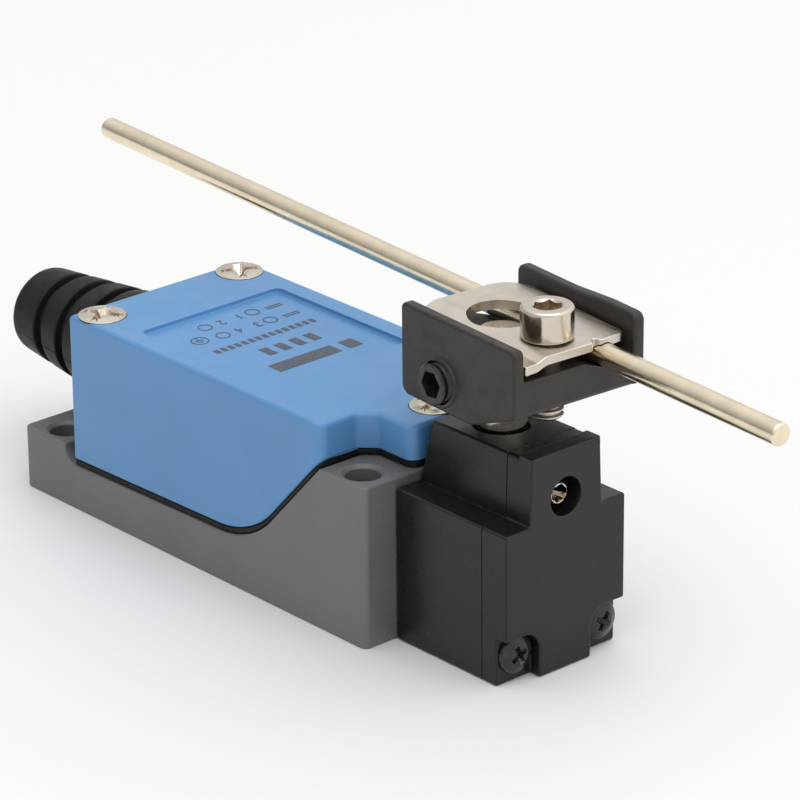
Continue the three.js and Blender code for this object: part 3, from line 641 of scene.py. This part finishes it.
def cover_gasket():
    """The rubber between base and cover, which follows their stepped joint."""
    low = parting_line(GASKET["gap"])
    high = parting_line(GASKET["gap"] + GASKET["thickness"])
    body = prism("y", outline([*low, *reversed(high)]), -BASE_HIGH.y, BASE_HIGH.y)
    ring = prism("z", cover_plan(0.12), 0, COVER_HIGH.z)
    half = COVER_HIGH.y - 1.87
    hole = rectangle(COVER_LOW.x + 1.9, CAVITY["front"] - 0.4, -half, half, 1)
    inner = prism("z", hole, -1, COVER_HIGH.z + 1)
    cut(inner, *(rod("z", at, 2.9, -2, COVER_HIGH.z + 2) for at in REAR_SCREWS))
    cut(ring, inner)
    common(body, ring)
    cut(body, *(rod("z", at, 1.75, -1, COVER_HIGH.z + 1) for at in SCREWS.values()))
    soften(body, 0.18)
    return piece(body, "gasket_ring", RUBBER, "housing", "cover_gasket")


def cover():
    """The blue cover: a hollow shell with a label recess, a notch for the boot and countersunk holes."""
    lift = 2 * GASKET["gap"] + GASKET["thickness"]
    top = COVER_HIGH.z
    above = outline([*parting_line(lift), (BASE_HIGH.x, top + 1, 0), (COVER_LOW.x - 0.01, top + 1, 0)])
    body = common(prism("z", cover_plan(), 0, top), prism("y", above, -20, 20))
    inside = COVER_HIGH.y - COVER["wall"]
    hollow = rectangle(COVER_LOW.x + COVER["wall"], COVER["front"] - COVER["wall"], -inside, inside, 1)
    room = prism("z", hollow, 0, top - COVER["roof"])
    rear, front, inner, outer = (SCREW_BOSS[k] for k in ("rear", "front", "inner", "outer"))
    cut(room, block(rear, front, inner, outer, -1, top + 1), block(rear, front, -outer, -inner, -1, top + 1))
    cut(body, room)
    soften(body, 0.2, [(on_top(top), 0.65), (at_rear_corner, 0.4)], segments=4)
    recess = rectangle(PANEL["rear"], PANEL["front"], -PANEL["half"], PANEL["half"], 0.9)
    panel = soften(prism("z", recess, top - PANEL["depth"], top + 1), 0.22)
    sink = [
        (0, 0, 0), (0, 1.65, 0), (top - COUNTERSINK["depth"], 1.65, 0), (top, COUNTERSINK["radius"], 0),
        (top + 1, COUNTERSINK["radius"], 0), (top + 1, 0, 0),
    ]
    notch_low, notch_high = COVER_LOW.x - 1, COVER_LOW.x + BOOT_NOTCH["reach"]
    notch = BOOT_NOTCH["cover"]
    cut(
        body,
        panel,
        rod("x", (0, BOOT_Z), notch, notch_low, notch_high, 96),
        block(notch_low, notch_high, -notch, notch, 0, BOOT_Z),
        *(turned("z", at, sink) for at in SCREWS.values()),
    )
    return piece(body, "cover_shell", BLUE, "housing", "cover")


def numeral(text, x, y, size, low):
    """A terminal number, its foot towards the boot."""
    curve = bpy.data.curves.new("numeral", "FONT")
    curve.body = text
    curve.size = size
    curve.extrude = 0.015
    curve.align_x = "CENTER"
    curve.align_y = "CENTER"
    body = bpy.data.objects.new("numeral", curve)
    bpy.context.scene.collection.objects.link(body)
    mesh = bpy.data.meshes.new_from_object(body.evaluated_get(bpy.context.evaluated_depsgraph_get()))
    mesh.transform(Matrix.Translation((x, y, low + 0.015)) @ Matrix.Rotation(-math.pi / 2, 4, "Z"))
    bpy.data.objects.remove(body)
    return mesh


def label_print():
    """Plain marks in the label panel: contact rings with their numbers, a ground sign, and bars for the
    lines of print."""
    low = COVER_HIGH.z - PANEL["depth"] + 0.004
    high = low + 0.03
    meshes = []

    def ring(x, y, radius, width=0.16):
        corners = [(low, radius - width, 0), (low, radius, 0), (high, radius, 0), (high, radius - width, 0)]
        meshes.append(turned("z", (x, y), corners, 48).data)

    def bar(x, y, length, width):
        body = block(x - width / 2, x + width / 2, y - length / 2, y + length / 2, low, high)
        meshes.append(body.data)

    for x, numbers in ((-9.3, "12"), (-5.9, "34")):
        ring(x, 4.0, 0.95)
        ring(x, -3.4, 0.95)
        meshes.append(numeral(numbers[0], x, 1.9, 2.1, low))
        meshes.append(numeral(numbers[1], x, -0.9, 2.1, low))
        bar(x, 7.2, 2.4, 0.22)
        bar(x + 0.5, 7.2, 2.4, 0.22)
    ring(-6.4, -6.6, 1.15)
    for k, length in enumerate((1.3, 0.85, 0.4)):
        bar(-6.55 + 0.34 * k, -6.6, length, 0.12)
    bar(-6.95, -6.6, 0.12, 0.7)
    for k in range(15):
        bar(-2.3, 7.6 - 1.06 * k, 0.62, 1.1)
    for k in range(4):
        bar(1.7, 4.2 - 2.3 * k, 1.2, 2.3)
    bar(6.4, -0.9, 9.6, 2.4)
    bar(6.4, 6.2, 2.0, 2.4)
    bm = bmesh.new()
    for mesh in meshes:
        bm.from_mesh(mesh)
    for body in [o for o in bpy.data.objects if o.data in meshes]:
        bpy.data.objects.remove(body)
    return piece(new_object(bm), "label_print", INK, "housing")


def cross_recess(axis_top, width, reach, depth):
    """A tapered cross-shaped tool that points down from the height axis_top."""
    tools = []
    mouth = (axis_top + 0.4, width * 1.1, reach * 1.2)
    floor = (axis_top - depth, width * 0.62, reach * 0.42)
    for swap in (False, True):
        corners = []
        for z, w, r in (mouth, floor):
            for a in (-r, r):
                for b in (-w / 2, w / 2):
                    corners.append((b, a, z) if swap else (a, b, z))
        tools.append(hull(corners))
    core = turned("z", (0, 0), [(axis_top - depth * 1.35, 0, 0), (axis_top + 0.4, reach * 0.62, 0),
                                (axis_top + 0.4, 0, 0)], 32)
    return [*tools, core]


def threads(low, high, radius, pitch, depth):
    """Profile corners of a threaded shank, from the tip at `low` up to `high`."""
    corners = [(low, 0, 0), (low, radius - depth - 0.1, 0)]
    at = low + pitch * 0.5
    while at + pitch * 0.6 < high:
        corners += [(at - pitch * 0.4, radius - depth, 0), (at - pitch * 0.08, radius, 0),
                    (at + pitch * 0.08, radius, 0)]
        at += pitch
    corners.append((at - pitch * 0.5, radius - depth, 0))
    corners.append((high, radius - depth, 0))
    return corners


def cover_screw(name):
    """A countersunk screw with a low raised head and a cross recess."""
    low, high = box_mm(name)
    top = COVER_HIGH.z
    crown = high.z - 0.01
    head = [(top - 1.5, 1.3, 0), (top, 2.97, 0.05), (top + 0.1, 2.97, 0.08), (top + 0.13, 2.7, 0.1),
            (top + 0.3, 1.9, 0.8), (crown, 0.9, 0.4), (crown, 0, 0)]
    body = turned("z", (0, 0), threads(low.z, top - 2.2, **SCREW_THREAD) + head)
    cut(body, *cross_recess(crown, 1.0, 2.0, 1.2))
    soften(body, 0.05, segments=2, angle=40)
    turn = {"cover_screw_rear_near": 28, "cover_screw_rear_far": 62, "cover_screw_front": 12}[name]
    place = (Matrix.Translation(((low.x + high.x) / 2, (low.y + high.y) / 2, 0))
             @ Matrix.Rotation(math.radians(turn), 4, "Z"))
    return piece(body, f"{name}_fine", NICKEL, "housing", name, place)


# ------------------------------------------------------------------ cable boot


def boot_radius(x):
    return BOOT["end_radius"] + BOOT["taper"] * (x - BOOT_LOW.x)


def cable_boot():
    """The ribbed rubber cone, scored along both sides by its mould's parting line."""
    end = BOOT_LOW.x
    corners = [(end, BOOT["bore"], 0.2), (end, boot_radius(end), 1.4)]
    x = end + BOOT["end_band"]
    while x + BOOT["groove"] < COVER_LOW.x:
        floor = boot_radius(x) - 1.15
        after = x + BOOT["groove"]
        corners += [(x, boot_radius(x), 0.25), (x + 0.15, floor, 0.4), (after - 0.15, floor, 0.4),
                    (after, boot_radius(after), 0.25)]
        x += BOOT["groove"] + BOOT["rib"]
    flange, lip = ENTRY["rear"] - 0.15, ENTRY["front"] + 0.15
    corners += [(flange, 7.93, 0.2), (flange, 6.3, 0), (lip, 6.3, 0), (lip, 7.4, 0.2), (lip + 1.6, 7.0, 0.4),
                (lip + 1.6, BOOT["bore"], 0.3)]
    body = turned("x", (0, 0), corners, 128)
    for side in (-1, 1):
        score = hull([(x, side * (boot_radius(x) + reach), z) for x in (end + 0.9, COVER_LOW.x)
                      for reach, z in ((-0.12, 0), (0.3, -0.2), (0.3, 0.2))])
        cut(body, score)
    droop = math.radians(12)
    place = Matrix.Translation((0, 0, BOOT_Z)) @ Matrix.Rotation(droop, 4, "X")
    return piece(body, "boot_rubber", RUBBER, "housing", "cable_boot", place)


# ------------------------------------------------------------------ head


def head_section():
    """The cap seen from the front: two ledges beside a tapered neck."""
    half, ledge = BLOCK_HIGH.y, HEAD["ledge"]
    side = [
        (half, 0, 0.3), (half, ledge, 0.4), (HEAD["neck_low"], ledge, 0.3),
        (HEAD["neck_top"], HEAD["top"], 0.5),
    ]
    return outline(side + [(-y, z, r) for y, z, r in reversed(side)])


def neck_block(front):
    """The neck of the head block, which leans forward over the cover's tongue."""
    ledge, top = HEAD["ledge"], HEAD["top"]
    points = []
    for z in (ledge - 2, top):
        share = (z - ledge) / (top - ledge)
        half = HEAD["neck_low"] + (HEAD["neck_top"] - HEAD["neck_low"]) * share
        rear = 32.0 + 1.8 * share
        points += [(x, y, z) for x in (rear, front) for y in (-half, half)]
    return hull(points)


def cap_screw_holes(low, high):
    y, z = CAP_SCREW
    return [rod("x", (s * y, z), TAPPED_HOLE, low, high) for s in (-1, 1)]


def head_block():
    low, high = BLOCK_LOW.x, BLOCK_HIGH.x
    half = BLOCK_HIGH.y
    seam = [(at_face(high), 0.08)]
    body = soften(block(low, high, -half, half, 0, HEAD["ledge"]), 0.3, seam)
    join(body, soften(neck_block(high), 0.3, seam))
    shaft = (SHAFT_X, 0)
    rear, side, floor, roof = (CAM_CHAMBER[k] for k in ("rear", "half", "floor", "roof"))
    top = HEAD["top"]
    mouth = [(25, 0, 0), (25, 3.2, 0), (top - 0.35, 3.2, 0), (top + 0.5, 4.05, 0), (top + 0.5, 0, 0)]
    cut(
        body,
        block(rear, high + 1, -side, side, floor, roof),
        rod("x", (0, PLUNGER_Z), SPRING_BORE["radius"], low - 1, rear + 1),
        rod("z", shaft, 4.1, 1.8, 7.2),
        rod("z", shaft, 4.6, 15.8, 25.6),
        turned("z", shaft, mouth),
        rod("x", (0, STOP_Z), TAPPED_HOLE, 44, high + 1),
        *cap_screw_holes(low - 1, high + 1),
    )
    return piece(body, "head_shell", BLACK, "housing", "head_block")


def head_cap():
    """The end cap, with a pocket for each screw, a raised strip on top and the stop screw's hole."""
    low, high = CAP_LOW.x, CAP_HIGH.x
    body = prism("x", head_section(), low, high)
    pockets = []
    for s in (-1, 1):
        corners = [(s * 4.0, -1, 0), (s * 10, -1, 0), (s * 10, 5.9, 0), (s * 4.0, 5.9, 2.3)]
        pockets.append(prism("x", outline(corners), 48.8, high + 1))
    cut(body, *pockets)
    soften(body, 0.28, [(at_face(low), 0.1)])
    neck, foot, top = HEAD["neck_top"], HEAD["top"] - 0.8, CAP_HIGH.z
    section = [(-neck - 0.02, foot), (neck + 0.02, foot), (-neck + 0.06, top), (neck - 0.06, top)]
    strip = hull([(x, y, z) for x in (48.2, high - 0.02) for y, z in section])
    join(body, soften(strip, 0.16))
    mouth = [
        (low - 1, 0, 0), (low - 1, 2.35, 0), (high - 0.12, 2.35, 0), (high + 0.3, 2.75, 0), (high + 0.3, 0, 0),
    ]
    cut(body, turned("x", (0, STOP_Z), mouth), *cap_screw_holes(low - 1, high))
    return piece(body, "cap_shell", BLACK, "housing", "head_cap")


def head_screw(name):
    """A black cross-recessed pan-head screw, built upright and then laid along X."""
    low, high = box_mm(name)
    length = high.x - low.x
    seat = length - 1.12
    shank = threads(0, seat - 4, **SCREW_THREAD)
    head = [(seat, 1.23, 0), (seat, 2.38, 0.1), (seat + 0.55, 2.38, 0.45), (length - 0.05, 1.2, 1.0),
            (length, 0, 0)]
    body = turned("z", (0, 0), shank + head, 96)
    cut(body, *cross_recess(length, 0.72, 1.35, 0.95))
    soften(body, 0.05, segments=2, angle=40)
    turn = 24 if name.endswith("near") else 58
    laid = Matrix.Rotation(math.pi / 2, 4, "Y") @ Matrix.Rotation(math.radians(turn), 4, "Z")
    place = Matrix.Translation((low.x, (low.y + high.y) / 2, CAP_SCREW[1])) @ laid
    return piece(body, f"{name}_fine", OXIDE, "housing", name, place)


def stop_screw():
    """A small socket set screw: the hexagon socket leaves six bright segments of rim."""
    low, high = box_mm("shaft_stop_screw")
    corners = [*threads(low.x, high.x - 0.25, 1.4, 0.5, 0.2), (high.x - 0.2, 1.4, 0), (high.x, 1.2, 0.05),
               (high.x, 0, 0)]
    body = turned("x", (0, STOP_Z), corners, 72)
    cut(body, prism("x", polygon(6, 1.14, (0, STOP_Z), math.radians(12)), high.x - 1.1, high.x + 1))
    soften(body, 0.04, segments=2, angle=40)
    return piece(body, "shaft_stop_screw_fine", NICKEL, "housing", "shaft_stop_screw")


def rotary_shaft():
    """The stepped shaft, with a chamfer and a centre mark at its upper end."""
    low, high = SHAFT_LOW.z, SHAFT_HIGH.z
    radius, journal, step = (SHAFT[k] for k in ("radius", "journal", "step"))
    corners = [
        (low, 0, 0), (low, journal, 0.2), (step, journal, 0), (step, radius, 0.15),
        (high - 0.5, radius, 0.1), (high, radius - 0.5, 0.1), (high, 0.5, 0), (high - 0.35, 0, 0),
    ]
    body = turned("z", (SHAFT_X, 0), corners, 128)
    return piece(body, "rotary_shaft_fine", NICKEL, "shaft", "rotary_shaft")


# ------------------------------------------------------------------ lever, in (u, v) about the shaft axis


def lever_side(front, *top):
    """The bracket seen from the side; `top` gives its upper edge from front to rear."""
    under = [(LEVER["rear"], WEB["low"], 1.3), (WEB["bend"], WEB["low"], 4.0),
             (front, WEB["low"] + WEB["rise"] * (front - WEB["bend"]), 0.8)]
    return outline([*under, *top])


def lever_arm():
    """The U-shaped bracket: a web between a lower near wall and a higher, uneven far wall."""
    rear, near, far = LEVER["rear"], LEVER["near"], LEVER["far"]
    near_inner, far_inner = near + LEVER["wall"], far - LEVER["wall"]
    front, top = NEAR_WALL["front"], NEAR_WALL["top"]
    body = prism("y", lever_side(front, (front, top, 0.75), (rear, top, 0.75)), near, far)
    cut(body, block(rear - 1, 14, near_inner, far_inner + 0.05, WEB["top"], 43))
    soften(body, 0.4, segments=4)
    front, top = FAR_WALL["front"], FAR_WALL["top"]
    far_top = [(front, top, 1.0), (8.0, 42.1, 8), (1.5, 41.8, 8), (rear, 41.95, 1.0)]
    far_wall = soften(prism("y", lever_side(front, *far_top), far_inner, far), 0.45, segments=4)
    ledge = block(
        PLATE["rear"], WEB["ledge_front"], near_inner - 0.5, near_inner + 1.3, WEB["top"] - 0.5, WEB["ledge"],
    )
    face, radius = SET_SCREW["collar_face"], SET_SCREW["collar"]
    root = near + 0.6
    collar = turned("y", SET_SCREW_AT, [(face, 0, 0), (face, radius, 0.25), (root, radius, 0), (root, 0, 0)])
    join(body, far_wall, ledge, collar)
    seat = prism("x", outline([
        (ROD_SEAT["v"], WEB["top"] + 0.01, 0.4), (ROD_SEAT["mid_v"], ROD_SEAT["mid_z"], 6.0),
        (far_inner, ROD_SEAT["far_z"], 0), (far_inner, 38.5, 0), (ROD_SEAT["v"], 38.5, 0),
    ]), rear - 1, 14)
    cut(
        body,
        seat,
        rod("z", (0, 0), 3.08, WEB["low"] - 1, WEB["top"] + 2, 96),
        rod("z", (CLAMP_SCREW["u"], 0), 2.05, WEB["low"] - 1, WEB["top"] + 2),
        rod("y", SET_SCREW_AT, SET_SCREW["radius"] + 0.12, near - 1, 0),
    )
    return piece(body, "lever_bracket", COATING, "lever", "lever_arm", LEVER_FRAME)


def clamp_plate():
    """Bent down along its near edge, notched beside the rod and raised a little at the rear."""
    thick, rear, front, far = (PLATE[k] for k in ("thickness", "rear", "front", "far"))
    rim = [(-6.6, -0.6, 0.25), (-4.9, -0.5, 1.2), (-3.6, 0, 1.6), (far, -0.1, 0.25)]
    section = [*rim, *((v, z - thick, r) for v, z, r in reversed(rim))]
    body = prism("x", outline(section), rear - front, 0)
    body.data.transform(Matrix.Translation((front, 0, PLATE["top"])) @ Matrix.Rotation(PLATE_TILT, 4, "Y"))
    notch = PLATE_NOTCH
    plan = outline([
        (rear, -7.5, 0), (front, -7.5, 0), (front - 0.1, notch["v"] - notch["half"], 0.3),
        (front - notch["reach"], notch["v"], 0.3), (front - 0.2, notch["v"] + notch["half"], 0.3),
        (PLATE["far_front"], far, 1.0), (rear, far, 4.0),
    ])
    common(body, prism("z", plan, 30, 45))
    soften(body, 0.16)
    cut(
        body,
        rod("z", (0, 0), PLATE_HOLE, 30, 45, 128),
        rod("z", (CLAMP_SCREW["u"], 0), 2.15, 30, 45),
        rod("x", ROD_AT, ROD["radius"] + 0.1, rear - 1, front + 1),
    )
    return piece(body, "clamp_plate_fine", PLATE_NICKEL, "lever", "clamp_plate", LEVER_FRAME)


def clamp_screw():
    """A socket cap screw; its threaded end shows below the web."""
    low, high = box_mm("clamp_screw")
    u, seat, head, shank = (CLAMP_SCREW[k] for k in ("u", "seat", "head", "shank"))
    crown = high.z
    corners = [
        *threads(low.z, seat - 2, CLAMP_SCREW["thread"], 0.7, 0.3), (seat - 1.6, shank, 0), (seat, shank, 0),
        (seat, head, 0.12), (crown - 0.02, head, 0.42), (crown, 1.2, 0), (crown, 0, 0),
    ]
    body = turned("z", (u, 0), corners, 128)
    hexagon = polygon(6, 3 / math.sqrt(3), (u, 0), math.radians(14))
    socket = prism("z", hexagon, crown - 2, crown + 1)
    chamfer = [(crown - 0.28, 0, 0), (crown - 0.28, 1.5, 0), (crown + 0.1, 1.88, 0), (crown + 0.1, 0, 0)]
    lead_in = turned("z", (u, 0), chamfer, 96)
    cut(body, socket, lead_in)
    soften(body, 0.06, segments=2, angle=34)
    return piece(body, "clamp_screw_fine", NICKEL, "lever", "clamp_screw", LEVER_FRAME)


def set_screw():
    """The black socket screw that clamps the lever to its shaft."""
    face, tip, radius = (SET_SCREW[k] for k in ("face", "tip", "radius"))
    shank = [(-c, r, k) for c, r, k in reversed(threads(-tip, -face - 0.4, radius - 0.05, 0.8, 0.3))]
    corners = [(face, 0, 0), (face, radius - 0.25, 0.1), (face + 0.25, radius, 0.1), *shank]
    body = turned("y", SET_SCREW_AT, corners, 96)
    hexagon = polygon(6, 2.9 / math.sqrt(3), SET_SCREW_AT, math.radians(8))
    cut(body, prism("y", hexagon, face - 1, face + 2.2))
    soften(body, 0.07, segments=2, angle=34)
    return piece(body, "set_screw_fine", OXIDE, "lever", "lever_set_screw", LEVER_FRAME)


def lever_rod():
    """The long plain rod with rounded ends."""
    radius, rear, front, ease = (ROD[k] for k in ("radius", "rear", "front", "ease"))
    corners = [(rear, 0, 0), (rear, radius, ease), (front, radius, ease), (front, 0, 0)]
    body = turned("x", ROD_AT, corners, 96)
    return piece(body, "lever_rod_fine", ROD_NICKEL, "rod", "lever_rod", LEVER_FRAME)


# ------------------------------------------------------------------ stage


def stage():
    bm = bmesh.new()
    bmesh.ops.create_grid(bm, x_segments=1, y_segments=1, size=4.0)
    floor = new_object(bm, "studio_floor")
    floor.location.z = -0.00005
    floor.data.materials.append(white_floor())


def lamp(name, place, target, size, watts, color=(1, 1, 1)):
    light = bpy.data.lights.new(name, "AREA")
    light.shape = "RECTANGLE"
    light.size, light.size_y = size
    light.energy = watts
    light.color = color
    body = bpy.data.objects.new(name, light)
    body.location = place
    body.rotation_euler = (Vector(target) - Vector(place)).to_track_quat("-Z", "Y").to_euler()
    bpy.context.scene.collection.objects.link(body)


def lights():
    """A white tent, brightest overhead and brighter from the head's end and the far side, and a soft lamp."""
    world = bpy.data.worlds.new("studio")
    world.use_nodes = True
    tree = world.node_tree
    direction = tree.nodes.new("ShaderNodeTexCoord").outputs["Generated"]
    lean = tree.nodes.new("ShaderNodeVectorMath")
    lean.operation = "DOT_PRODUCT"
    lean.inputs[1].default_value = (0.26, 0.26, 0.64)
    strength = tree.nodes.new("ShaderNodeMath")
    strength.inputs[1].default_value = 0.61
    tree.links.new(direction, lean.inputs[0])
    tree.links.new(lean.outputs["Value"], strength.inputs[0])
    tree.links.new(strength.outputs["Value"], tree.nodes["Background"].inputs["Strength"])
    tree.nodes["Background"].inputs["Color"].default_value = (1, 1, 1, 1)
    bpy.context.scene.world = world
    lamp("overhead", (0.2, -0.1, 0.85), (0, 0, 0), (0.9, 0.7), 2.0)


def camera():
    """A long lens, above and in front of the corner between the near side and the head's end."""
    azimuth, elevation, roll = (math.radians(a) for a in (48.624, 22.809, -0.538))
    back = Vector((math.sin(azimuth) * math.cos(elevation), -math.cos(azimuth) * math.cos(elevation),
                   math.sin(elevation)))
    level = Vector((math.cos(azimuth), math.sin(azimuth), 0))
    rise = back.cross(level)
    right = math.cos(roll) * level + math.sin(roll) * rise
    up = back.cross(right)
    body = bpy.data.objects.new("camera", bpy.data.cameras.new("camera"))
    body.data.lens = 199.1
    body.data.clip_end = 20
    place = Matrix((right, up, back)).transposed().to_4x4()
    place.translation = Vector((378.24, -313.55, 223.85)) * MM
    body.matrix_world = place
    bpy.context.scene.collection.objects.link(body)
    bpy.context.scene.camera = body


bpy.context.scene.view_settings.view_transform = "Standard"

base_housing()
cover_gasket()
cover()
label_print()
for screw in SCREWS:
    cover_screw(screw)
cable_boot()
head_block()
head_cap()
head_screw("head_screw_near")
head_screw("head_screw_far")
stop_screw()
rotary_shaft()
lever_arm()
clamp_plate()
clamp_screw()
set_screw()
lever_rod()

HIDDEN = {
    "rubber_black": RUBBER, "bronze": BRONZE, "spring_steel": SPRING, "switch_ivory": IVORY,
    "switch_smoke": SMOKE, "brass": BRASS, "nickel": NICKEL,
}
slot_of = {part["node"]: part["material_slot"] for part in frame["record"]["subparts"]}
for node, body in frame["nodes"].items():
    finish = HIDDEN.get(slot_of[node])
    if finish is not None:
        body.data.materials.clear()
        body.data.materials.append(finish)

stage()
lights()
camera()
